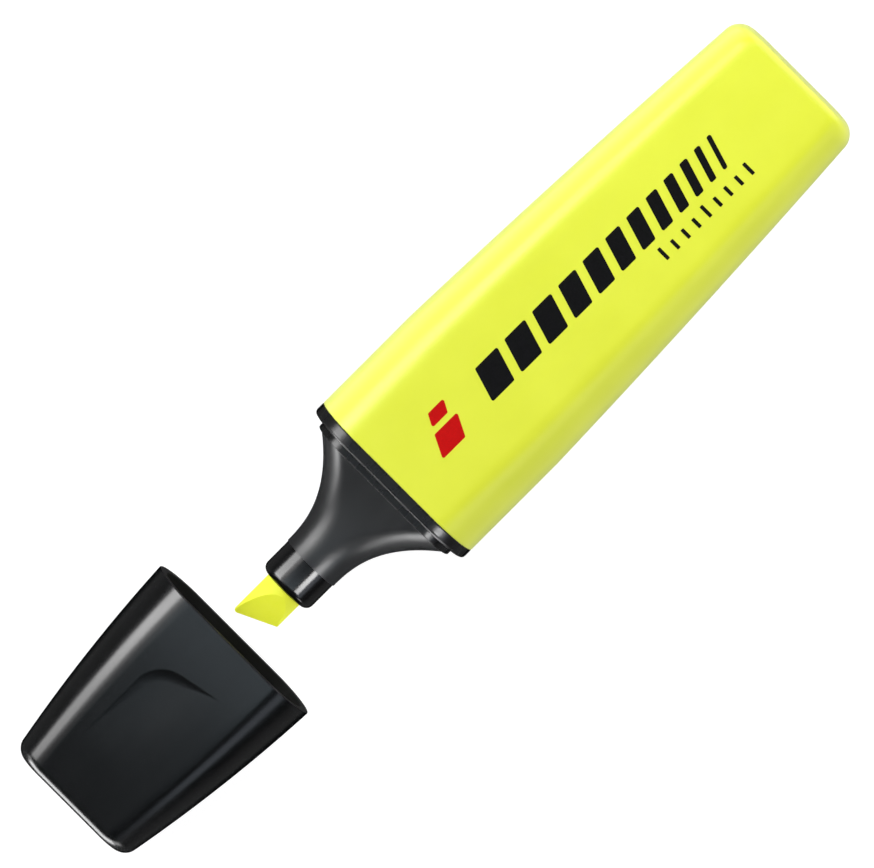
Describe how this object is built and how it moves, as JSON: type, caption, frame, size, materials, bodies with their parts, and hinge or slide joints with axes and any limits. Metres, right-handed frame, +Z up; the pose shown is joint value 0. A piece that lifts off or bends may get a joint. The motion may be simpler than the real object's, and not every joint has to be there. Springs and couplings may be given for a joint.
{
  "type": "highlighter",
  "caption": "Flat chisel-tip highlighter with a tapered barrel and a pull-off cap held in line with its nib.",
  "frame": {"origin": "middle of the bounding box's footprint, under the lowest point of the pen, with the cap pulled off and in line", "axes": "+X along the pen towards the barrel's closed end, so the nib and the cap point to -X; +Y across the width; +Z up through the thickness"},
  "size_m": [0.1328, 0.0268, 0.017],
  "materials": {
    "barrel_yellow": "glossy fluorescent moulding",
    "section_black": "satin moulding",
    "ferrule_black": "polished moulding",
    "cap_black": "semi-gloss moulding",
    "seal_grey": "smooth flexible moulding",
    "nib_fibre": "ink-soaked bonded fibre",
    "core_fibre": "ink-soaked loose fibre",
    "film_clear": "thin film",
    "print_black": "pad-printed ink",
    "print_red": "pad-printed ink"
  },
  "bodies": {
    "pen": {"barrel": "barrel_yellow", "front_section": "section_black", "nozzle_ferrule": "ferrule_black", "nib": "nib_fibre", "reservoir_core": "core_fibre", "reservoir_film": "film_clear"},
    "cap": {"cap_shell": "cap_black", "cap_seal": "seal_grey"}
  },
  "joints": [
    {"name": "cap_slide", "type": "slide", "parent": "pen", "child": "cap", "axis": [-1, 0, 0], "range_m": [-0.0281, 0.02]}
  ]
}
